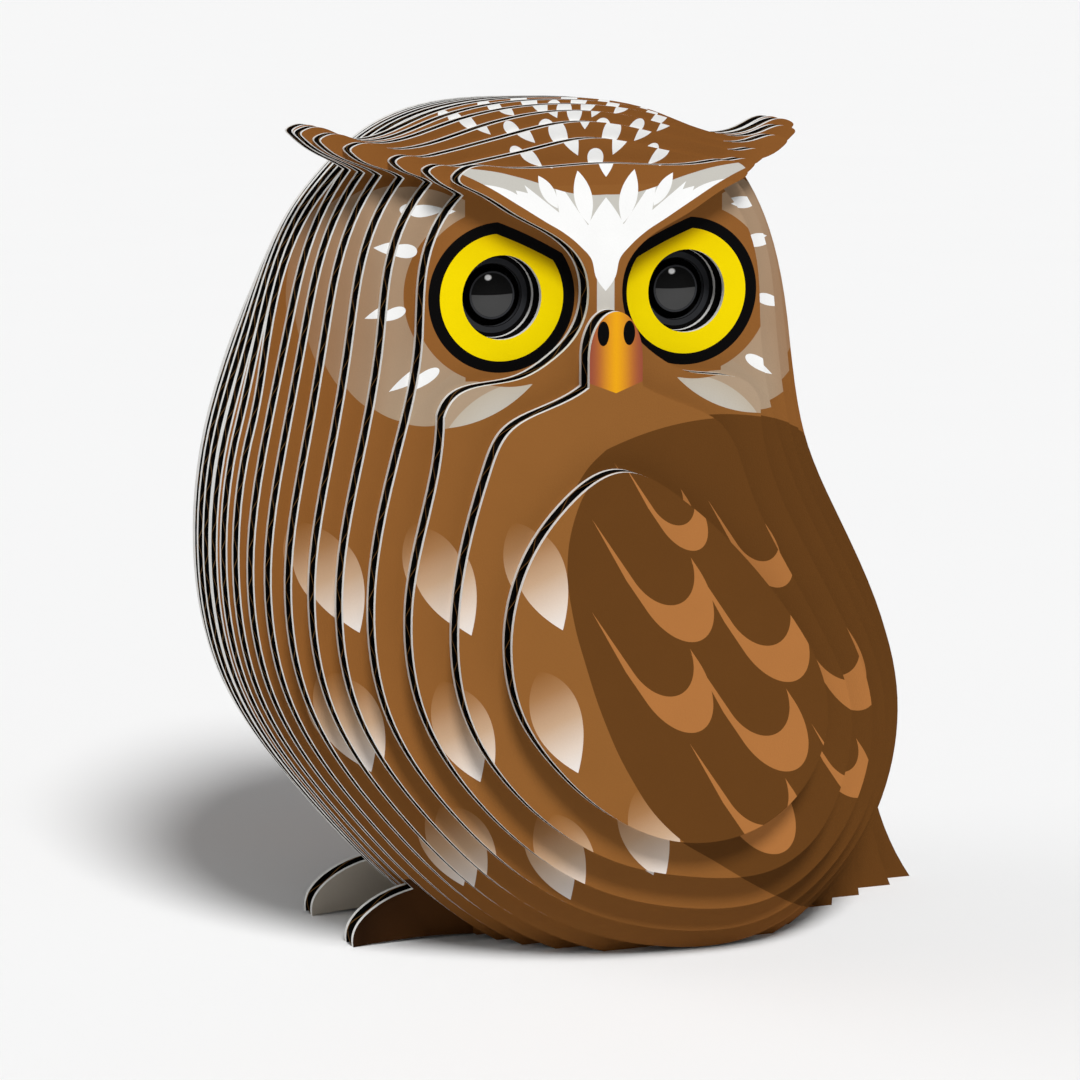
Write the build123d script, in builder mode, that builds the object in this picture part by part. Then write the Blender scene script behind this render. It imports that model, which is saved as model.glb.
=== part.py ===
"""Stacked card owl: two dozen corrugated boards glued face to face, in millimetres.

The boards lie in XZ planes. The owl is seen from its side: breast and claws point to -X,
the tail to +X, and the head is turned to look along -Y. The origin is on the table, under
the middle of the owl, on the plane where the front half meets the back half.
"""
import os
from math import sqrt

from build123d import *

# ---------------------------------------------------------------- driving dimensions
BOARD = 2.0            # thickness of one corrugated board
LINER = 0.4            # thickness of each flat paper face of a board
BOARDS_PER_HALF = 12
CORE = BOARD - 2 * LINER
FLUTE_PAPER = 0.16     # thickness of the wavy paper between the liners
FLUTE_PITCH = 2.8      # length of one wave
FLUTE_CREST = 0.32     # share of a half wave that is crest
FLUTE_GAP = 0.01       # glue line between a wave crest and its liner
FLUTE_SHIFT = 0.38     # the waves of neighbouring boards are out of step by this share
REACH = 80.0           # longer than the owl in every direction

BODY_HALF_WIDTH = 26.7     # how far the outline pulls in at the round end of the stack
BODY_HALF_DEPTH = 12.45    # half depth of the round body, in boards
CHEEK_ROUNDING = 0.05      # the cheeks pull in faster towards the face
NAPE_HALF_WIDTH = 18.0     # the same two sizes for the back of the head
NAPE_HALF_DEPTH = 11.8
NAPE_SLOPE = 0.07          # the crown also falls steadily towards the back
NAPE_TAPER = 0.10          # and the dome narrows as steadily
CROWN_ROUNDING = 19.5      # the crown drops by the square of the pull-in over this

FACE_X = -5.45         # middle line of the face
EYE_SPACING = 14.4
EYE_Z = 50.2
EYE_HOLE_RADIUS = 3.03
RIM_HOLE_RADIUS = 2.25
PUPIL_RADIUS = 1.75
PUPIL_BOARD = 7        # the pupils are glued to this board's face
EYE_HOLES = {9: EYE_HOLE_RADIUS, 8: RIM_HOLE_RADIUS}
BEAK_HALF_WIDTH = 2.05
BEAK_ARCH_Z = 45.9
BEAK_ARCH_RISE = 3.4
CHIN_Z = 43.9

EYE_CENTRES = [(FACE_X - EYE_SPACING / 2, EYE_Z), (FACE_X + EYE_SPACING / 2, EYE_Z)]

# Outline of the widest board without tail, claw or ear tufts. Each point carries the
# direction in which it moves as the outline pulls in: (x, z, x_direction, z_direction).
BELLY = [
    (-28.0, 40.0, 1.08, -0.15),
    (-29.3, 30.0, 1.00, -0.05),
    (-27.6, 20.0, 0.90, 0.10),
    (-21.2, 10.0, 0.68, 0.40),
    (-11.0, 0.0, 0.45, 0.76),
    (1.5, -4.8, 0.00, 1.00),
    (10.4, -4.3, -0.20, 0.98),
    (17.0, -0.6, -0.50, 0.85),
    (22.2, 5.2, -0.80, 0.60),
    (24.8, 12.0, -0.95, 0.25),
    (25.0, 18.0, -0.95, 0.10),
    (23.15, 25.0, -0.97, -0.05),
    (19.8, 32.0, -0.97, -0.15),
    (17.1, 38.0, -1.00, -0.15),
]
CHEEK_LEFT = (-25.9, 48.0, 0.77, -0.08)
CHEEK_RIGHT = (15.0, 48.0, -0.77, -0.08)
TEMPLE_LEFT = (-24.8, 52.0, 0.68, -0.04)
TEMPLE_RIGHT = (13.9, 52.0, -0.68, -0.04)

# Dome of the head, from the temple up to the crown, on both sides of the face's middle line:
# (half width, z, pull-in of the half width, drop, share of the crown's drop).
DOME = [
    (17.5, 56.0, 0.85, 0.45, 0.25),
    (15.2, 58.8, 0.80, 0.45, 0.35),
    (13.4, 60.5, 0.72, 0.45, 0.45),
    (11.2, 61.95, 0.60, 0.30, 0.70),
    (7.3, 63.35, 0.40, 0.10, 0.95),
]
CROWN_Z = 64.0
WIDEST_HEAD_BOARD = 4
NAPE_LAST_BOARD = 9        # the back boards beyond this one stop at the shoulders
SHOULDERS = [(-11.8, 42.8), (-4.6, 45.6), (2.6, 42.4)]

# Ear tufts, one row per front board that has them:
# board: (tip, tip z, corner below the tuft, its z, hollow above it, its z, shoulder, crown z)
TUFTS = {
    4: (19.5, 61.8, 15.1, 58.9, 13.5, 61.15, 9.6, 63.95),
    5: (19.5, 61.7, 14.7, 58.8, 13.2, 61.15, 9.1, 63.85),
    6: (18.7, 61.3, 14.1, 58.7, 13.0, 61.10, 8.7, 63.60),
    7: (17.1, 60.7, 13.1, 58.6, 11.8, 60.80, 7.5, 63.20),
    8: (14.4, 59.9, 11.7, 58.35, 10.8, 60.40, 6.2, 62.50),
    9: (12.6, 59.3, 10.1, 57.55, 9.0, 59.80, 4.8, 61.40),
}
TUFT_BLUNT = 0.30      # how far the rounded tip reaches back above and below
TUFT_CURVE = 0.05      # rise of the tuft's upper edge over a straight line

# Left edge of the brow board from the cheek, round the eye and out to the tuft's tip,
# as distances from the face's middle line.
BROW_EDGE = [
    (12.3, 42.0),
    (11.3, 43.5),
    (6.6, 44.5),
    (4.0, 45.8),
    (2.2, 47.5),
    (1.3, 50.0),
    (1.8, 52.7),
    (3.6, 54.5),
    (6.6, 56.1),
    (9.9, 58.0),
    (11.1, 58.9),
    (10.7, 59.35),
    (8.0, 59.60),
]
BROW_TOP_Z = 59.7

SHOULDER_EDGE = [(4.8, 42.6), (8.2, 40.9)]    # beak board, from the chin out to the side

WING_DISC = [
    (-14.2, 26.0),
    (-12.9, 31.6),
    (-10.0, 35.6),
    (-5.8, 38.0),
    (-1.2, 35.9),
    (3.6, 31.6),
    (8.0, 26.2),
    (10.6, 20.6),
    (9.8, 15.4),
    (6.0, 11.5),
    (0.2, 10.4),
    (-5.6, 12.4),
    (-10.6, 16.8),
    (-13.4, 21.2),
]

# Tail's outer edge, one row per board: (foot x, knee x, knee z, top x, top z)
TAIL = {
    1: (29.1, 26.1, 6.0, 25.0, 12.5),
    2: (26.3, 24.7, 4.6, 24.0, 9.5),
    3: (22.5, 22.1, 2.8, 21.8, 5.6),
    4: (19.1, 19.2, 1.8, 19.2, 3.6),
}
TAIL_ROOT_X = 8.0

CLAW_BOARD = 3
CLAW_TIP_X = -20.2
CLAW_ROOT_X = -9.0
CLAW_TOP = [(-20.05, 1.3), (-18.5, 2.9), (-16.2, 3.9)]
CLAW_ROOT_Z = 4.7
CLAW_ARCH = 0.3

KINDS = {1: "tail", 2: "tail", 3: "claw", 9: "eyes", 10: "brow", 11: "beak", 12: "wing"}


# ---------------------------------------------------------------- outlines
def pull_in(board):
    """Distance from the widest outline to this board's, for a round stack."""
    depth = (board - 0.6) / BODY_HALF_DEPTH
    return BODY_HALF_WIDTH * (1 - sqrt(1 - depth * depth))


def nape_pull_in(behind):
    """The same for the head, this many boards behind its widest one."""
    depth = max(0, behind - 1) / NAPE_HALF_DEPTH
    return NAPE_HALF_WIDTH * (1 - sqrt(1 - depth * depth))


def inset(point, step):
    """A point of the widest outline, moved in by one step."""
    x, z, x_way, z_way = point
    return (x + step * x_way, z + step * z_way)


def belly_points(board):
    """The body's outline below the head, from the breast round to the back."""
    return [inset(point, pull_in(board)) for point in BELLY]


def both_sides(points):
    """Distances from the middle line as points on the left, and the same on the right."""
    left = [(FACE_X - half, z) for half, z in points]
    right = [(FACE_X + half, z) for half, z in points]
    return left, right[::-1]


def plain_outline(board, behind):
    """A board of the back of the head and body: one smooth closed curve."""
    step = nape_pull_in(behind)
    crown_drop = step * step / CROWN_ROUNDING + NAPE_SLOPE * behind
    dome_step = step + NAPE_TAPER * behind
    dome = []
    for half, z, narrow, drop, share in DOME:
        dome.append((half - dome_step * narrow, z - dome_step * drop - share * crown_drop))
    left, right = both_sides(dome)
    cheek_left = inset(CHEEK_LEFT, step)
    cheek_right = inset(CHEEK_RIGHT, step)
    crown = (FACE_X, CROWN_Z - crown_drop)
    top = [cheek_right, *right[::-1], crown, *left[::-1], cheek_left]
    Spline(*belly_points(board), *top, periodic=True)


def shoulder_outline(board):
    """A back board below the nape: the body alone, closed at the shoulders."""
    Spline(*belly_points(board), *SHOULDERS[::-1], periodic=True)


def tuft_outline(board):
    """A board with ear tufts: the body below, a tufted brow line above."""
    tip, tip_z, corner, corner_z, hollow, hollow_z, shoulder, crown_z = TUFTS[board]
    corner_left = (FACE_X - corner, corner_z)
    corner_right = (FACE_X + corner, corner_z)
    step = pull_in(board)
    head_step = step + CHEEK_ROUNDING * step * step
    left_side = [inset(TEMPLE_LEFT, head_step), inset(CHEEK_LEFT, head_step)]
    right_side = [inset(CHEEK_RIGHT, head_step), inset(TEMPLE_RIGHT, head_step)]
    Spline(corner_left, *left_side, *belly_points(board), *right_side, corner_right)
    tuft = [
        (0.5 * (corner + tip), corner_z + 0.4 * (tip_z - corner_z)),
        (tip - 0.7 * TUFT_BLUNT, tip_z - TUFT_BLUNT),
        (tip, tip_z),
        (tip - 1.2 * TUFT_BLUNT, tip_z + TUFT_BLUNT),
        (0.5 * (tip + hollow), 0.5 * (tip_z + hollow_z) + TUFT_CURVE),
        (hollow, hollow_z),
        (shoulder, 0.5 * (hollow_z + crown_z)),
    ]
    left, right = both_sides(tuft)
    Spline(corner_right, *right[::-1], (FACE_X, crown_z), *left[::-1], corner_left)


def brow_outline(board):
    """The brow board: cut away round both eyes, with the last pair of tufts."""
    left, right = both_sides(BROW_EDGE)
    Spline(left[0], *belly_points(board), right[-1])
    Spline(right[-1], *right[-2::-1], (FACE_X, BROW_TOP_Z), *left[:0:-1], left[0])


def beak_outline(board):
    """The beak board: sloping shoulders and an arched beak in the middle of the face."""
    chin_left = (FACE_X - BEAK_HALF_WIDTH, CHIN_Z)
    chin_right = (FACE_X + BEAK_HALF_WIDTH, CHIN_Z)
    arch_left = (FACE_X - BEAK_HALF_WIDTH, BEAK_ARCH_Z)
    arch_right = (FACE_X + BEAK_HALF_WIDTH, BEAK_ARCH_Z)
    left, right = both_sides(SHOULDER_EDGE)
    Spline(chin_left, *left, *belly_points(board), *right, chin_right)
    Line(chin_right, arch_right)
    EllipticalCenterArc((FACE_X, BEAK_ARCH_Z), BEAK_HALF_WIDTH, BEAK_ARCH_RISE, arc_size=180)
    Line(arch_left, chin_left)


def wing_outline():
    """The outermost board: a single egg that carries the wing."""
    Spline(*WING_DISC, periodic=True)


FRONT_OUTLINES = {10: brow_outline, 11: beak_outline}


def draw_outline(side, board):
    """Draw a board's outline; the two halves differ only in the head."""
    if board == BOARDS_PER_HALF:
        wing_outline()
    elif side == "front" and board in FRONT_OUTLINES:
        FRONT_OUTLINES[board](board)
    elif side == "front" and board in TUFTS:
        tuft_outline(board)
    elif board > NAPE_LAST_BOARD:
        shoulder_outline(board)
    else:
        offset_boards = -board if side == "front" else board - 1
        plain_outline(board, WIDEST_HEAD_BOARD + offset_boards)


def tail_outline(board):
    """The tail's wedge, from inside the body down to the table."""
    foot_x, knee_x, knee_z, top_x, top_z = TAIL[board]
    foot = (foot_x, 0)
    top = (top_x, top_z)
    ThreePointArc(top, (knee_x, knee_z), foot)
    Polyline(foot, (TAIL_ROOT_X, 0), (TAIL_ROOT_X, top_z), top)


def claw_outline():
    """A hooked claw, from its tip on the table into the breast."""
    tip = (CLAW_TIP_X, 0)
    heel = (CLAW_ROOT_X, 0)
    root = (CLAW_ROOT_X, CLAW_ROOT_Z)
    Spline(tip, *CLAW_TOP, root)
    Line(root, heel)
    ThreePointArc(heel, (0.5 * (CLAW_TIP_X + CLAW_ROOT_X), CLAW_ARCH), tip)


# ---------------------------------------------------------------- sketches
def board_plane(side, board):
    """Plane of the board's printed face; the sketch's normal points out of the stack."""
    if side == "front":
        return Plane((0, -board * BOARD, 0), x_dir=(1, 0, 0), z_dir=(0, -1, 0))
    return Plane((0, board * BOARD, 0), x_dir=(1, 0, 0), z_dir=(0, -1, 0))


def board_sketch(side, board):
    """The whole outline of one board, standing on the table, in its face's plane."""
    with BuildSketch(board_plane(side, board)) as sketch:
        with BuildLine():
            draw_outline(side, board)
        make_face()
        if board in TAIL:
            with BuildLine():
                tail_outline(board)
            make_face()
        if board == CLAW_BOARD:
            with BuildLine():
                claw_outline()
            make_face()
        with Locations((0, REACH / 2)):
            Rectangle(REACH, REACH, mode=Mode.INTERSECT)
        if side == "front" and board in EYE_HOLES:
            with Locations(*EYE_CENTRES):
                Circle(EYE_HOLES[board], mode=Mode.SUBTRACT)
    return sketch.sketch


def wave_profile(middle_y, phase):
    """Section of the wavy paper: webs between short flat crests, one paper thick."""
    amplitude = CORE / 2 - FLUTE_PAPER / 2 - FLUTE_GAP
    half = FLUTE_PITCH / 2
    start = -FLUTE_PITCH * (1 + phase)
    near = []
    far = []
    for i in range(int(REACH / half) + 4):
        crest_y = middle_y + (amplitude if i % 2 else -amplitude)
        low = start + i * half
        for z in (low, low + FLUTE_CREST * half):
            near.append((crest_y - FLUTE_PAPER / 2, z))
            far.append((crest_y + FLUTE_PAPER / 2, z))
    Polyline(*near, *far[::-1], close=True)


# ---------------------------------------------------------------- the pieces
def write(piece, name):
    """Label a finished piece and write its file."""
    piece.label = name
    export_step(piece, f"parts/{name}.step")


def build_liners(side, board, name):
    """The two flat papers of one board."""
    outline = board_sketch(side, board)
    inwards = 1 if side == "front" else -1
    with BuildPart() as liners:
        for depth in (0, BOARD - LINER):
            face = outline.moved(Location((0, inwards * depth, 0)))
            extrude(face, amount=-inwards * LINER)
    write(liners.part, name)


def build_flute(side, board, name):
    """The wavy paper between the liners, cut to the same outline."""
    outline = board_sketch(side, board)
    middle_y = (board - 0.5) * BOARD * (-1 if side == "front" else 1)
    with BuildPart() as flute:
        with BuildSketch(Plane.YZ.offset(-REACH / 2)):
            with BuildLine():
                wave_profile(middle_y, board * FLUTE_SHIFT % 1)
            make_face()
        extrude(amount=REACH)
        extrude(outline, amount=BOARD, both=True, mode=Mode.INTERSECT)
    write(flute.part, name)


def build_pupil(centre, name):
    """A small card disc at the bottom of an eye hole, glued to the board behind."""
    with BuildPart() as pupil:
        with BuildSketch(board_plane("front", PUPIL_BOARD)):
            with Locations(centre):
                Circle(PUPIL_RADIUS)
        extrude(amount=BOARD)
    write(pupil.part, name)


os.makedirs("parts", exist_ok=True)

for side in ("front", "back"):
    for board in range(1, BOARDS_PER_HALF + 1):
        kind = KINDS.get(board, "tuft" if board in TUFTS else "body")
        if side == "back" and kind in ("tuft", "eyes", "brow", "beak"):
            kind = "head"
        build_liners(side, board, f"{side}_board_{board:02d}_{kind}")
        build_flute(side, board, f"{side}_flute_{board:02d}")

for centre, eye in zip(EYE_CENTRES, ("left", "right")):
    build_pupil(centre, f"pupil_disc_{eye}")
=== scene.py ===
"""Looks for a small owl glued up from die-cut corrugated boards.

The boards keep their own shapes. Each gets printed plumage on its outward face, pale cut paper round its edge
and a fluted core whose inside is painted near-black as painted shade. The plumage is one flat picture in X
and Z that runs on from board to board.
"""
import math
from functools import reduce
from operator import or_

import bpy
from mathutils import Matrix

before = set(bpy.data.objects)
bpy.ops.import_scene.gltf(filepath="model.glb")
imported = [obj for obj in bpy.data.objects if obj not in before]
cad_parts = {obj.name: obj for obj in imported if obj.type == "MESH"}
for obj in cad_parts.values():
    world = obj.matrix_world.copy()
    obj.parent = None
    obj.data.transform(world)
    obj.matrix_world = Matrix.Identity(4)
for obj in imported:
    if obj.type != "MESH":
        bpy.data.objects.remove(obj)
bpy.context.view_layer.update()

# ---------------------------------------------------------------- sizes, in millimetres
BOARD = 2.0
FACE_X = -5.45                 # middle line of the face
EYE = (7.2, 50.2)              # distance from that line, and height
IRIS = (4.72, 4.58)
EYE_RIM = (5.6, 5.4)
LID = (8.15, 55.0)             # a point on the eyelid's edge
LID_SLOPE = 0.47


def light_of(level):
    """Light given off by one channel of a screen colour, 0 to 255."""
    if level > 10:
        return ((level / 255 + 0.055) / 1.055) ** 2.4
    return level / 255 / 12.92


def ink(red, green, blue):
    """A printed colour, given as it looks on a screen."""
    return (light_of(red), light_of(green), light_of(blue), 1)


BREAST_BROWN = ink(149, 98, 48)
FLANK_BROWN = ink(144, 91, 43)
CROWN_BROWN = ink(143, 91, 43)
WING_BROWN = ink(104, 65, 27)
FEATHER_EDGE = ink(180, 118, 63)
WHITE = ink(255, 255, 254)
BROW_GREY = ink(211, 206, 197)
BROW_SHADE = ink(205, 202, 194)
BLACK = ink(9, 8, 8)
PUPIL_BLACK = ink(13, 13, 13)
PUPIL_GREY = ink(68, 68, 68)
# grey of the printed rings round and on the pupil, and also painted shade on the cut edges in the eye holes
PRINTED_RING_AND_HOLE_SHADE = ink(52, 53, 56)
# painted shade: the liners' inner faces inside the core, painted near-black for the shade there
CORE_PAINTED_SHADE = ink(11, 9, 7)

# Papers, each as the two colours that it is mottled with.
CUT_EDGE = (ink(212, 211, 208), ink(236, 235, 232))
RAW_PAPER = (ink(182, 172, 158), ink(196, 188, 176))
FLUTE_CUT = (ink(78, 54, 26), ink(116, 82, 40))
# painted shade: the fluting between the liners, painted near-black for the shade inside the core
FLUTE_PAINTED_SHADE = (ink(7, 5, 4), CORE_PAINTED_SHADE)

# Colour ramps, as (place, colour).
DOWN_RAMP = [(0.0, ink(243, 236, 231)), (0.22, ink(232, 214, 198)), (0.5, ink(204, 170, 138)),
             (0.78, ink(175, 130, 88)), (1.0, ink(156, 106, 58))]
DISC_RAMP = [(0, ink(183, 160, 134)), (0.35, ink(176, 148, 120)), (1, ink(176, 148, 120))]
CHEEK_RAMP = [(0.6, ink(207, 200, 188)), (1.0, ink(196, 184, 166)), (1.04, ink(187, 168, 145)),
              (1.6, ink(180, 156, 130))]
# painted shade: the iris yellow darkens towards the lid above it
IRIS_RAMP_WITH_LID_SHADE = [(0.0, ink(250, 222, 0)), (0.6, ink(244, 214, 0)), (0.82, ink(232, 198, 0)),
            (1.0, ink(205, 168, 0))]
BEAK_RAMP = [(0.0, ink(243, 172, 24)), (0.16, ink(238, 164, 28)), (0.4, ink(212, 138, 42)),
             (0.6, ink(188, 110, 50)), (0.83, ink(160, 85, 60)), (1.0, ink(156, 80, 60))]
# toe print, darkest in the middle and browner toward the body; lighter toward the toe tips as a painted
# highlight
CLAW_RAMP_WITH_TIP_HIGHLIGHT = [(0, ink(66, 38, 16)), (0.4, ink(40, 22, 8)), (1, ink(98, 60, 28))]
SPARK_RAMP = [(0.35, (1, 1, 1, 1)), (1.0, (0, 0, 0, 1))]


# ---------------------------------------------------------------- shader maths
class Field:
    """A number that changes over a surface. Python's operators on it add Math nodes."""

    def __init__(self, paint, socket):
        self.paint = paint
        self.socket = socket

    def math(self, operation, *values):
        return self.paint.math(operation, self, *values)

    def __add__(self, other):
        return self.math("ADD", other)

    __radd__ = __add__

    def __mul__(self, other):
        return self.math("MULTIPLY", other)

    __rmul__ = __mul__

    def __sub__(self, other):
        return self.math("SUBTRACT", other)

    def __rsub__(self, other):
        return self.paint.math("SUBTRACT", other, self)

    def __truediv__(self, other):
        return self.math("DIVIDE", other)

    def __lt__(self, other):
        return self.math("LESS_THAN", other)

    def __gt__(self, other):
        return self.math("GREATER_THAN", other)

    def __and__(self, other):
        return self.math("MULTIPLY", other)

    def __or__(self, other):
        return self.math("MAXIMUM", other)

    def times_plus(self, factor, rest):
        return self.math("MULTIPLY_ADD", factor, rest)

    def size(self):
        return self.math("ABSOLUTE")

    def root(self):
        return self.math("SQRT")

    def least(self, other):
        """The smaller of the two."""
        return self.math("MINIMUM", other)

    def most(self, other):
        """The larger of the two."""
        return self.math("MAXIMUM", other)


class Paint:
    """One material being mixed, with the places that its patterns are drawn from."""

    def __init__(self, name):
        self.material = bpy.data.materials.new(name)
        self.material.use_nodes = True
        self.tree = self.material.node_tree
        self.tree.nodes.clear()
        place = self.node("ShaderNodeTexCoord")
        self.point = self.scaled(place.outputs["Object"], 1000)
        split = self.node("ShaderNodeSeparateXYZ", inputs={0: self.point})
        turn = self.node("ShaderNodeSeparateXYZ", inputs={0: place.outputs["Normal"]})
        self.x = Field(self, split.outputs[0])
        self.y = Field(self, split.outputs[1])
        self.z = Field(self, split.outputs[2])
        self.facing = Field(self, turn.outputs[1])
        self.u = (self.x - FACE_X).size()

    def node(self, kind, settings=None, inputs=None):
        """Adds a node of a type, makes its settings, then fills its sockets with values or links."""
        made = self.tree.nodes.new(kind)
        for key, value in (settings or {}).items():
            if key == "stops":
                fill_ramp(made.color_ramp, value)
            elif key == "points":
                fill_curve(made.mapping, value)
            else:
                setattr(made, key, value)
        for key, value in (inputs or {}).items():
            if isinstance(value, Field):
                value = value.socket
            if isinstance(value, bpy.types.NodeSocket):
                self.tree.links.new(value, made.inputs[key])
            else:
                made.inputs[key].default_value = value
        return made

    def math(self, operation, *values):
        made = self.node("ShaderNodeMath", {"operation": operation}, dict(enumerate(values)))
        return Field(self, made.outputs[0])

    def scaled(self, vector, factor):
        """A colour or a place, times a number."""
        made = self.node("ShaderNodeVectorMath", {"operation": "SCALE"}, {0: vector, "Scale": factor})
        return made.outputs[0]

    def mix(self, factor, low, high):
        """low where factor is 0 and high where it is 1."""
        made = self.node("ShaderNodeMix", {"data_type": "RGBA"}, {0: factor, 6: low, 7: high})
        return made.outputs[2]

    def ramp(self, value, stops, smooth="LINEAR"):
        made = self.node("ShaderNodeValToRGB", {"stops": stops}, {0: value})
        made.color_ramp.interpolation = smooth
        return made.outputs[0]

    def curve(self, value, points):
        """A line drawn through a few given (value, result) points."""
        ins = [p[0] for p in points]
        outs = [p[1] for p in points]
        low, span = min(ins), max(ins) - min(ins)
        base, reach = min(outs), max(outs) - min(outs)
        flat = [((a - low) / span, (b - base) / reach) for a, b in points]
        share = value.times_plus(1 / span, -low / span)
        made = self.node("ShaderNodeFloatCurve", {"points": flat}, {"Value": share})
        return Field(self, made.outputs[0]).times_plus(reach, base)

    def noise(self, scale, detail=2.0):
        """A soft mottle of 0 to 1. The scale is per millimetre."""
        made = self.node("ShaderNodeTexNoise", None, {"Vector": self.point, "Scale": scale, "Detail": detail})
        return Field(self, made.outputs[0])

    def oval(self, across, up, middle, radii):
        """0 at the middle of an oval and 1 on its edge, squared."""
        a = across.times_plus(1 / radii[0], -middle[0] / radii[0])
        b = up.times_plus(1 / radii[1], -middle[1] / radii[1])
        return a.times_plus(a, b * b)

    def along(self, across, up, point, direction):
        """How far along a direction a spot lies from a point."""
        part = up.times_plus(direction[1], -(point[0] * direction[0] + point[1] * direction[1]))
        return across.times_plus(direction[0], part)

    def spine(self, across, up, tip, base, half_width):
        """Along a feather, 0 at the tip to 1 at the base, and off its spine, in half widths."""
        run = (base[0] - tip[0], base[1] - tip[1])
        length = math.hypot(*run)
        way = (run[0] / length, run[1] / length)
        share = self.along(across, up, tip, (way[0] / length, way[1] / length))
        side = self.along(across, up, tip, (way[1] / half_width, -way[0] / half_width))
        return share, side.size()

    def leaf(self, across, up, tip, base, half_width, taper=0.5):
        """A leaf with a sharp tip and a round base: its mask, and 0 at the tip to 1 at the base."""
        share, side = self.spine(across, up, tip, base, half_width)
        fullest = (1 + taper) ** (1 + taper) / taper ** taper
        return side < share * (1 - share).math("POWER", taper) * fullest, share

    def leaves(self, across, up, rows):
        """All the leaves of a table of (tip, base, half width) rows, as one mask."""
        return reduce(or_, [self.leaf(across, up, *row)[0] for row in rows])

    def lens(self, across, up, tip, base, half_width):
        """A leaf that is pointed at both ends."""
        share, side = self.spine(across, up, tip, base, half_width)
        return side < share * (1 - share) * 4

    def wedge(self, across, up, tip, base, half_width):
        """A narrow triangle from its tip to a point on its base."""
        share, side = self.spine(across, up, tip, base, half_width)
        return side < share

    def finish(self, colour, roughness, bump, depth=0.00003, specular=0.03):
        """Joins a colour, a roughness and a height, whose depth is in metres, to one plain paper shader."""
        raised = self.node("ShaderNodeBump", None, {"Strength": 0.6, "Distance": depth, "Height": bump})
        return self.node("ShaderNodeBsdfPrincipled", None, {
            "Base Color": colour,
            "Roughness": roughness,
            "Normal": raised.outputs[0],
            "Specular IOR Level": specular,
        }).outputs[0]

    def close(self, shader):
        self.node("ShaderNodeOutputMaterial", None, {0: shader})
        return self.material


def fill_ramp(ramp, stops):
    while len(ramp.elements) > 1:
        ramp.elements.remove(ramp.elements[-1])
    ramp.elements[0].position = stops[0][0]
    ramp.elements[0].color = stops[0][1]
    for place, colour in stops[1:]:
        ramp.elements.new(place).color = colour


def fill_curve(mapping, points):
    line = mapping.curves[0]
    ordered = sorted(points)
    line.points[0].location = ordered[0]
    line.points[1].location = ordered[-1]
    for point in ordered[1:-1]:
        line.points.new(*point)
    mapping.update()


# ---------------------------------------------------------------- plumage, in x and z
FLANK_ROUND = ((-6, 30), (26, 40))
BREAST_TIPS = [(-22.9, 26.2), (-16.55, 26.6), (-10.35, 26.9),
               (-21.4, 15.4), (-15.15, 15.4), (-9.15, 16.4),
               (-13.5, 5.6), (-7.3, 5.4), (-1.5, 7.2)]
BREAST_FEATHER = (-3.0, 7.6)   # from a feather's tip to its base
BREAST_HALF_WIDTH = 1.85
BREAST_TAPER = 0.75
FEATHER_FADE = [(0, 1), (0.62, 1), (1, 0)]

# The folded wing: its front edge as (z, x), and its arched top as (x of the arch's middle, its z, its bend).
WING_EDGE = [(0, 17.8), (4, 9.7), (8, 3.1), (12, -2.4), (16, -5.2), (20, -7.1), (24, -8.5),
             (28, -9.6), (31.5, -10), (35, -9.4), (37.5, -8.1), (39, -6.7), (41.5, -2.5)]
WING_TOP = (3, 41.3, 0.0224)

# Its feathers: where the first one is, the step to the next column and row, and which way they point.
FEATHER_START = (-0.2, 32.0)
FEATHER_STEP = ((7.7, -3.5), (0, -6.7))
FEATHER_TURN = math.radians(125)
WING_FEATHERS = [(0, 0, 0.68), (1, 0, 0.72), (0, 1, 1), (1, 1, 1), (2, 1, 1),
                 (0, 2, 1), (1, 2, 1), (2, 2, 0.74), (1, 3, 1)]     # column, row, size

# A crescent is what lies in the outer oval and not in the inner one. Both ovals are (middle, radii), across
# the feather and along it. Past their middles they run on straight, and the outer one leans.
CRESCENT_OUTER = ((0.95, 4.2), (2.45, 4.5))
CRESCENT_INNER = ((1.25, 6.55), (2.3, 3.6))
CRESCENT_SIDE = 3.4            # past here, across the feather, the inner oval is open
CRESCENT_LEAN = 0.085
CRESCENT_LEAN_FROM = 7         # along the feather


def crescent(paint, along, across):
    """The pale crescent under one wing feather, from its own tip, in a feather's own turned frame."""
    lean = along.most(CRESCENT_LEAN_FROM).times_plus(-CRESCENT_LEAN, CRESCENT_LEAN * CRESCENT_LEAN_FROM)
    outer = paint.oval(lean + across, along.least(CRESCENT_OUTER[0][1]), *CRESCENT_OUTER) < 1
    inner = paint.oval(across.least(CRESCENT_SIDE), along.least(CRESCENT_INNER[0][1]), *CRESCENT_INNER) > 1
    return outer & inner


def breast(paint):
    """Brown breast and flank, with teardrop feathers that are white at their tips."""
    shares = []
    masks = []
    for x, z in BREAST_TIPS:
        base = (x + BREAST_FEATHER[0], z + BREAST_FEATHER[1])
        inside, share = paint.leaf(paint.x, paint.z, (x, z), base, BREAST_HALF_WIDTH, BREAST_TAPER)
        shares.append(share & inside)
        masks.append(inside)
    share = sum(shares[1:], shares[0])
    brown = paint.mix(paint.oval(paint.x, paint.z, *FLANK_ROUND), BREAST_BROWN, FLANK_BROWN)
    shown = reduce(or_, masks) * paint.curve(share, FEATHER_FADE)
    return paint.mix(shown, brown, paint.ramp(share, DOWN_RAMP))


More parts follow.
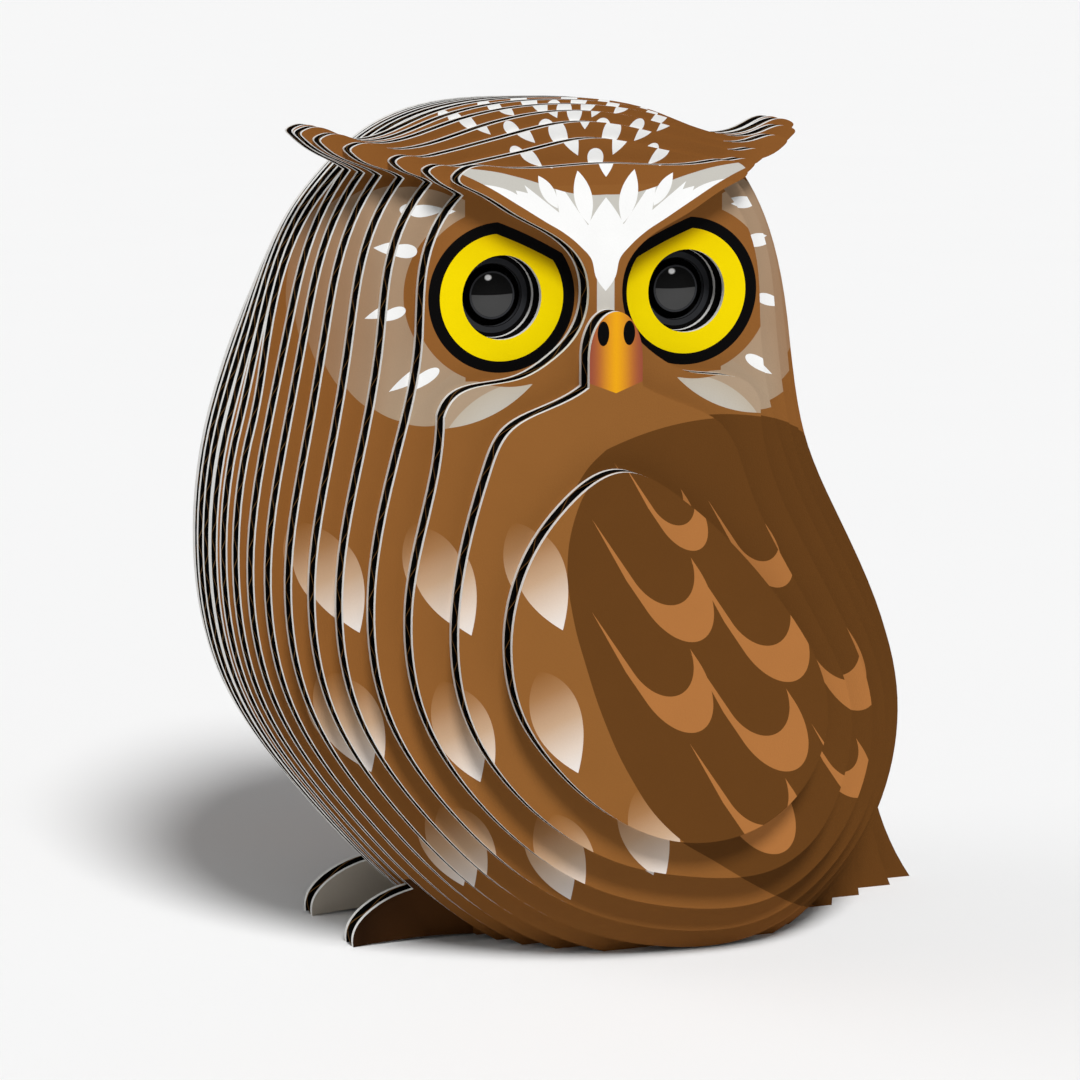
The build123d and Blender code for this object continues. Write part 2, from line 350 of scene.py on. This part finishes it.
def wing_feathers(paint):
    """All the crescents of the wing, as one mask."""
    way = (math.cos(FEATHER_TURN), math.sin(FEATHER_TURN))
    side = (way[1], -way[0])
    along = paint.along(paint.x, paint.z, (0, 0), way)
    across = paint.along(paint.x, paint.z, (0, 0), side)
    crescents = []
    for column, row, size in WING_FEATHERS:
        tip_x = FEATHER_START[0] + column * FEATHER_STEP[0][0] + row * FEATHER_STEP[1][0]
        tip_z = FEATHER_START[1] + column * FEATHER_STEP[0][1] + row * FEATHER_STEP[1][1]
        own_along = along.times_plus(1 / size, -(tip_x * way[0] + tip_z * way[1]) / size)
        own_across = across.times_plus(1 / size, -(tip_x * side[0] + tip_z * side[1]) / size)
        crescents.append(crescent(paint, own_along, own_across))
    return reduce(or_, crescents)


def plumage(paint):
    """Breast, flank and folded wing, as a colour."""
    middle_x, top_z, bend = WING_TOP
    over = paint.x - middle_x
    under_top = (over * over).times_plus(bend, paint.z) < top_z
    wing = (paint.x > paint.curve(paint.z, WING_EDGE)) & under_top
    return paint.mix(wing, breast(paint), paint.mix(wing_feathers(paint), WING_BROWN, FEATHER_EDGE))


# ---------------------------------------------------------------- head
# It is drawn for one side and folded about the face: u is the distance from the face's middle line.
CROWN_FROM_Z = 58.2
DISC = ((12.85, 49.6), (6.7, 8.4))
DISC_TOP_Z = 58.4
DISC_RAMP_Z = (41, 18)         # where the disc's ramp starts, and its length
DISC_FADE = [(0, 1), (13.5, 1), (16, 0.75), (19.6, 0.3)]
DISC_INNER_U = 10.0            # the disc stops here beside the eye
DISC_SHELF = (43.93, 0.035)    # below this line, of (height, slope), it runs on under the eye
CHEEK = ((12.6, 51.1), (9.85, 9.85))
CHEEK_OUTER_U = 12.85
CHEEK_TOP_Z = 46
CHEEK_PALE_ROUND = ((6.0, 36.9), (7.45, 7.45))
CHEEK_PALE_END = 1.6
EYE_SURROUND = ((7.2, 50.3), (6.75, 6.3))
# tip, base, half width
DASHES = [((10.7, 56.45), (13.5, 56.35), 0.44), ((15.5, 53.7), (12.9, 53.5), 0.5),
          ((16.2, 48.65), (13.8, 49.4), 0.42), ((15.1, 43.55), (12.0, 45.25), 0.45)]
CROWN_SPOTS = [((0, 61.95), (0, 63.85), 0.6), ((0, 58.75), (0, 60.7), 0.62),
               ((1.35, 60.2), (2.5, 62.6), 0.66), ((1.35, 62.7), (2.4, 64.6), 0.62),
               ((3.85, 61.05), (5.45, 62.45), 0.44), ((3.9, 62.85), (5.2, 63.8), 0.42),
               ((6.5, 61.6), (8.3, 63.05), 0.42), ((4.1, 59.45), (5.75, 60.75), 0.42)]


def head_print(paint, body):
    """Facial disc, cheek, dashes and crown spots over the body colour."""
    u = paint.u
    z = paint.z
    face = paint.mix(z > CROWN_FROM_Z, body, CROWN_BROWN)
    shelf_z, shelf_slope = DISC_SHELF
    shelf = (u > DISC_INNER_U) | (z + u * -shelf_slope < shelf_z)
    clear_of_eye = (paint.oval(u, z, *EYE_SURROUND) > 1) & shelf
    round_cheek = (paint.oval(u, z, *CHEEK) < 1) & (z < CHEEK_TOP_Z) & (u < CHEEK_OUTER_U)
    disc = ((paint.oval(u, z, *DISC) < 1) | round_cheek) & clear_of_eye & (z < DISC_TOP_Z)
    low_z, span = DISC_RAMP_Z
    tan = paint.ramp(z.times_plus(1 / span, -low_z / span), DISC_RAMP)
    pale = paint.oval(u, z, *CHEEK_PALE_ROUND)
    cheek = paint.mix((pale < CHEEK_PALE_END) & (z < CHEEK_TOP_Z), tan, paint.ramp(pale, CHEEK_RAMP))
    face = paint.mix(disc * paint.curve(u, DISC_FADE), face, cheek)
    return paint.mix(paint.leaves(u, z, CROWN_SPOTS + DASHES), face, WHITE)


def nape_print(paint, body):
    """The back of the head: plain crown with pale spots."""
    face = paint.mix(paint.z > CROWN_FROM_Z, body, CROWN_BROWN)
    return paint.mix(paint.leaves(paint.u, paint.z, CROWN_SPOTS), face, WHITE)


LID_BEND = (5.2, 0.02)         # where the lid's curve is flat, and how fast it bends
RIM_ABOVE_LID = 1.0
IRIS_ABOVE_LID = 0.12
LID_SHADE_DEPTH = 4             # painted shade: the iris darkens over this distance up to the lid


def eye_print(paint, face):
    """Black rim and yellow iris under a slanting lid, with painted shade darkening the iris up to the lid,
    for the board with the eye holes.
    """
    u = paint.u
    z = paint.z
    above_lid = z - u.times_plus(LID_SLOPE, LID[1] - LID[0] * LID_SLOPE)
    bend_u, bend_rate = LID_BEND
    bend = (u - bend_u) * (u - bend_u) * -bend_rate
    rim = (paint.oval(u, z, EYE, EYE_RIM) < 1) & (above_lid < bend + RIM_ABOVE_LID)
    iris = (paint.oval(u, z, EYE, IRIS) < 1) & (above_lid < bend + IRIS_ABOVE_LID)
    shaded_yellow = paint.ramp(above_lid.times_plus(1 / LID_SHADE_DEPTH, 1.0), IRIS_RAMP_WITH_LID_SHADE)
    return paint.mix(iris, paint.mix(rim, face, BLACK), shaded_yellow)


# The white V of the brow lies between two lines, (u, z).
BROW_FOOT = [(0.0, 50.6), (0.75, 51.6), (1.1, 52.9), (1.85, 53.75), (3.15, 54.8), (4.6, 55.65), (6.6, 56.85),
             (9.2, 58.35), (11.5, 59.4)]
BROW_CAP = [(0, 57.5), (1.4, 57.5), (2.6, 57.65), (3.8, 57.95), (5.1, 58.4), (6.8, 58.9), (8.8, 59.35),
            (11.5, 59.65)]
# upper tip, lower tip, half width
BROW_LEAVES = [((2.2, 59.25), (1.3, 55.4), 0.68), ((5.2, 58.95), (3.7, 56.6), 0.47)]
BROW_LOBES = [((0, 57.3), (0, 52.0), 1.8), ((6.9, 57.95), (4.1, 55.6), 0.8),
              ((9.7, 58.45), (6.2, 56.6), 0.66)]
WEDGE_DROP = (0.1, 0.3)        # a leaf's shadow starts this far in from its lower tip and below it
WEDGE_WIDTH = 2.6              # and widens to this many of the leaf's half widths
SHADE_MIDDLE = (1.5, 55.5)     # grey from the middle line out to here, and from this height up
SHADE_OUTER = (5.2, 56, 0.45)  # and outwards of a slanting line: where, at what height, and its slope
LEAVES_ABOVE_CAP = (6.2, 57)   # only the inner leaves stick up over the cap
STRIP = (0.68, 46, 53)         # grey strip between the eyes: half width, bottom, top


def brow_print(paint, face):
    """The white V between the eyes with its feather tips, for the brow board."""
    u = paint.u
    z = paint.z
    inside = (z > paint.curve(u, BROW_FOOT)) & (z < paint.curve(u, BROW_CAP))
    middle = (u < SHADE_MIDDLE[0]) & (z > SHADE_MIDDLE[1])
    outer_u, outer_z, slope = SHADE_OUTER
    outer = z.times_plus(-slope, u) > outer_u - slope * outer_z
    wedges = []
    for tip, end, half_width in BROW_LEAVES:
        start = (end[0] - WEDGE_DROP[0], end[1] - WEDGE_DROP[1])
        wedges.append(paint.wedge(u, z, start, tip, half_width * WEDGE_WIDTH))
    brow = paint.mix(middle | outer | reduce(or_, wedges), WHITE, BROW_SHADE)
    leaves = reduce(or_, [paint.lens(u, z, *row) for row in BROW_LEAVES]) | paint.leaves(u, z, BROW_LOBES)
    strip = (u < STRIP[0]) & (z > STRIP[1]) & (z < STRIP[2])
    colour = paint.mix(inside, paint.mix(strip, face, BROW_GREY), brow)
    above = (u < LEAVES_ABOVE_CAP[0]) & (z > LEAVES_ABOVE_CAP[1])
    return paint.mix(leaves & (inside | above), colour, WHITE)


BEAK_TIP_Z = 43.45
BEAK_SHOULDER_Z = 44.25
BEAK_HALF = 2.1
NOSTRIL = ((1.0, 47.75), (0.45, 0.88))


def beak_print(paint, body):
    """Orange beak with two nostrils, for the beak board."""
    u = paint.u
    z = paint.z
    slope = u * ((BEAK_SHOULDER_Z - BEAK_TIP_Z) / BEAK_HALF) + BEAK_TIP_Z
    beak = (u < BEAK_HALF) & (z > slope)
    colour = paint.mix(beak, body, paint.ramp(u / BEAK_HALF, BEAK_RAMP, "B_SPLINE"))
    return paint.mix(paint.oval(u, z, *NOSTRIL) < 1, colour, BLACK)


CLAW_CORNER = (-10.5, 4.9)     # the toes are left of this and below it
CLAW_RAMP_X = (-25, 14)        # where its ramp starts, and its length


def claw_print(paint, body):
    """Dark toes low on the claw board, lighter toward their tips as a painted highlight."""
    foot = (paint.x < CLAW_CORNER[0]) & (paint.z < CLAW_CORNER[1])
    start, length = CLAW_RAMP_X
    return paint.mix(foot, body, paint.ramp(paint.x.times_plus(1 / length, -start / length), CLAW_RAMP_WITH_TIP_HIGHLIGHT))


# ---------------------------------------------------------------- card
# Noises, as (scale, detail).
GRAIN = (7.0, 3.0)
FIBRES = (26.0, 2.0)
MOTTLE = (0.35, 1.0)
FINE_FIBRES = (20.0, 2.0)
# What a noise is multiplied by, and what is added to it.
GRAIN_TONE = (0.05, 0.785)
MOTTLE_TONE = (0.06, 0.97)
PRINT_ROUGHNESS = (0.2, 0.42)
PUPIL_ROUGHNESS = (0.1, 0.4)

PAPER_ROUGHNESS = 0.85
PAPER_RELIEF = 0.00004         # in metres
GRAIN_IN_RELIEF = 0.6          # the rest of the printed face's relief is fibres
FLUTE_ROUGHNESS = 0.8
PUPIL_RELIEF = 0.00001
PUPIL_SPECULAR = 0.05

FACE_DEPTH = 0.1               # a spot this near to a board's outside is on its face
FACING = 0.5                   # and one that faces forward or back more than this is flat
CUT_FACING = 0.12              # a flute's cut edge faces less forward or back than this
WELL_OF_EYE = 3.4              # radius round an eye's middle that the eye holes show
WELL_RING = (2.3, 2.72)
HOLE_SHADE_EDGE = 2.6                # cut edges nearer than this are painted dark grey, as painted shade in the eye holes
PUPIL_LOW = 1.58
PUPIL_LOW_BEND = 0.03
PUPIL_RING_RADII = (1.6, 1.72)
SPARK = ((-0.3, 1.28), (0.3, 0.24))


def card(paint, side, picture, shaded_hole_edge=None):
    """Printed outer face, raw paper on the glued face, pale cut edges and an inside painted near-black as
    painted shade; cut edges in the eye holes are painted dark grey as painted shade.
    """
    outward = paint.facing if side == "back" else paint.facing * -1
    on_face = paint.y.size().math("PINGPONG", BOARD / 2) < FACE_DEPTH
    flat_face = paint.facing.size() > FACING
    printed = (outward > FACING) & on_face
    grain = paint.noise(*GRAIN)
    fibres = paint.noise(*FIBRES)
    mottle = paint.noise(*MOTTLE)
    tone = paint.scaled(picture, grain.times_plus(*GRAIN_TONE) * mottle.times_plus(*MOTTLE_TONE))
    relief = grain * GRAIN_IN_RELIEF + fibres * (1 - GRAIN_IN_RELIEF)
    ink_shader = paint.finish(tone, grain.times_plus(*PRINT_ROUGHNESS), relief)
    edge_paper = paint.mix(fibres, *CUT_EDGE)
    # painted shade: cut edges inside the eye holes take the dark ring grey
    if shaded_hole_edge is not None:
        edge_paper = paint.mix(shaded_hole_edge, edge_paper, PRINTED_RING_AND_HOLE_SHADE)
    # painted shade: inner faces of the liners, off the board's face, are painted near-black
    inside = paint.mix(on_face, CORE_PAINTED_SHADE, paint.mix(fibres, *RAW_PAPER))
    paper = paint.mix(flat_face, edge_paper, inside)
    paper_shader = paint.finish(paper, PAPER_ROUGHNESS, fibres, PAPER_RELIEF)
    both = paint.node("ShaderNodeMixShader", None, {0: printed, 1: paper_shader, 2: ink_shader})
    return paint.close(both.outputs[0])


def flute_paper():
    """Wavy paper: tan where it was cut, and painted near-black as painted shade between the liners and on its
    cut edges in the eye holes.
    """
    paint = Paint("fluting paper")
    # painted shade: in the eye holes the cut flutes are painted near-black too, for the shade in the holes
    clear_of_eye = paint.oval(paint.u, paint.z, EYE, (WELL_OF_EYE, WELL_OF_EYE)) > 1
    cut = (paint.facing.size() < CUT_FACING) & clear_of_eye
    fibres = paint.noise(*FINE_FIBRES)
    colour = paint.mix(cut, paint.mix(fibres, *FLUTE_PAINTED_SHADE), paint.mix(fibres, *FLUTE_CUT))
    return paint.close(paint.finish(colour, FLUTE_ROUGHNESS, fibres))


def pupil_card():
    """Black pupil with a grey lower half, a fine ring and a small light spot."""
    paint = Paint("pupil print")
    from_face = paint.x - FACE_X
    across = from_face - from_face.math("SIGN") * EYE[0]
    up = paint.z - EYE[1]
    far = (across * across + up * up).root()
    fibres = paint.noise(*FINE_FIBRES)
    low = (up < (across * across) * PUPIL_LOW_BEND) & (far < PUPIL_LOW)
    ring = (far > PUPIL_RING_RADII[0]) & (far < PUPIL_RING_RADII[1])
    colour = paint.mix(ring, paint.mix(low, PUPIL_BLACK, PUPIL_GREY), PRINTED_RING_AND_HOLE_SHADE)
    colour = paint.mix(paint.ramp(paint.oval(across, up, *SPARK), SPARK_RAMP), colour, WHITE)
    colour = paint.mix(paint.facing.size() < FACING, colour, BLACK)
    roughness = fibres.times_plus(*PUPIL_ROUGHNESS)
    return paint.close(paint.finish(colour, roughness, fibres, PUPIL_RELIEF, PUPIL_SPECULAR))


def plain_card(name, side, *prints):
    """A board with the plumage and then each given print on top."""
    paint = Paint(name)
    picture = plumage(paint)
    for add_print in prints:
        picture = add_print(paint, picture)
    return card(paint, side, picture)


def eye_backing_card():
    """A board behind the eye holes: black round the pupil, with one grey ring, and cut edges in the holes
    painted dark grey as painted shade.
    """
    paint = Paint("printed owl card behind the eyes")
    far = paint.oval(paint.u, paint.z, EYE, (1, 1)).root()
    well = paint.mix((far > WELL_RING[0]) & (far < WELL_RING[1]), BLACK, PRINTED_RING_AND_HOLE_SHADE)
    head = head_print(paint, plumage(paint))
    return card(paint, "front", paint.mix(far < WELL_OF_EYE, head, well), far < HOLE_SHADE_EDGE)


CARDS = {
    "front": plain_card("printed owl card", "front", head_print),
    "backing": eye_backing_card(),
    "eyes": plain_card("printed eye card", "front", head_print, eye_print),
    "brow": plain_card("printed brow card", "front", head_print, brow_print),
    "beak": plain_card("printed beak card", "front", beak_print),
    "wing": plain_card("printed wing card front", "front"),
    "claw": plain_card("printed claw card front", "front", head_print, claw_print),
    "back": plain_card("printed owl card of the back", "back", nape_print),
    "back_wing": plain_card("printed wing card back", "back"),
    "back_claw": plain_card("printed claw card back", "back", nape_print, claw_print),
    "flute": flute_paper(),
    "pupil": pupil_card(),
}


def card_for(name):
    """Which finish a board, a fluting sheet or a pupil disc gets, from its name."""
    if "flute" in name:
        return "flute"
    if "pupil" in name:
        return "pupil"
    kind = name.rsplit("_", 1)[1]
    if name.startswith("back"):
        return {"wing": "back_wing", "claw": "back_claw"}.get(kind, "back")
    if name.startswith(("front_board_07", "front_board_08")):
        return "backing"
    return kind if kind in ("eyes", "brow", "beak", "wing", "claw") else "front"


for name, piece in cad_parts.items():
    finish = CARDS[card_for(name)]
    for slot in piece.material_slots:
        slot.material = finish

# ---------------------------------------------------------------- floor, light and camera
FLOOR_SIZE = 60                # metres, as the camera's place is
FLOOR_SPECKLE = 0.02
FLOOR_TONES = ((0.885, 0.885, 0.886, 1), (0.893, 0.893, 0.893, 1))
SKY_COLOUR = (0.99, 0.995, 1, 1)
SKY_STRENGTH = 0.2
CAMERA_PLACE = (-0.1070, -0.26364, 0.07494)
CAMERA_DROP = 9.1296           # degrees below level
CAMERA_TURN = -21.604
CAMERA_LENS = 123.01

bpy.ops.object.select_all(action="DESELECT")
bpy.ops.mesh.primitive_plane_add(size=FLOOR_SIZE, location=(0, 0, 0))
floor = bpy.context.object
floor.name = "studio_floor"
sheet = Paint("pale studio floor")
speckle = sheet.noise(FLOOR_SPECKLE)
sheet_colour = sheet.mix(speckle, *FLOOR_TONES)
sheet_shader = sheet.finish(sheet_colour, roughness=0.9, bump=speckle, depth=0.00001, specular=0.0)
floor.data.materials.append(sheet.close(sheet_shader))

scene = bpy.context.scene
world = bpy.data.worlds.new("soft studio")
world.use_nodes = True
world.node_tree.nodes["Background"].inputs["Color"].default_value = SKY_COLOUR
world.node_tree.nodes["Background"].inputs["Strength"].default_value = SKY_STRENGTH
scene.world = world
scene.view_settings.view_transform = "Standard"


def soft_sun(name, energy, spread, tilt, turn):
    """A distant lamp. Its angular width, tilt from overhead and turn about the upright are in degrees."""
    lamp = bpy.data.lights.new(name, "SUN")
    lamp.energy = energy
    lamp.angle = math.radians(spread)
    lamp_object = bpy.data.objects.new(name, lamp)
    lamp_object.rotation_euler = (math.radians(tilt), 0, math.radians(turn))
    scene.collection.objects.link(lamp_object)


soft_sun("key light", energy=3.16, spread=18, tilt=40, turn=-2)
soft_sun("side fill", energy=1.0, spread=50, tilt=77, turn=-120)

camera = bpy.data.cameras.new("studio camera")
camera.lens = CAMERA_LENS
camera.sensor_width = 36
camera.clip_end = 200
camera_object = bpy.data.objects.new("studio camera", camera)
camera_object.location = CAMERA_PLACE
camera_object.rotation_euler = (math.radians(90 - CAMERA_DROP), 0, math.radians(CAMERA_TURN))
scene.collection.objects.link(camera_object)
scene.camera = camera_object
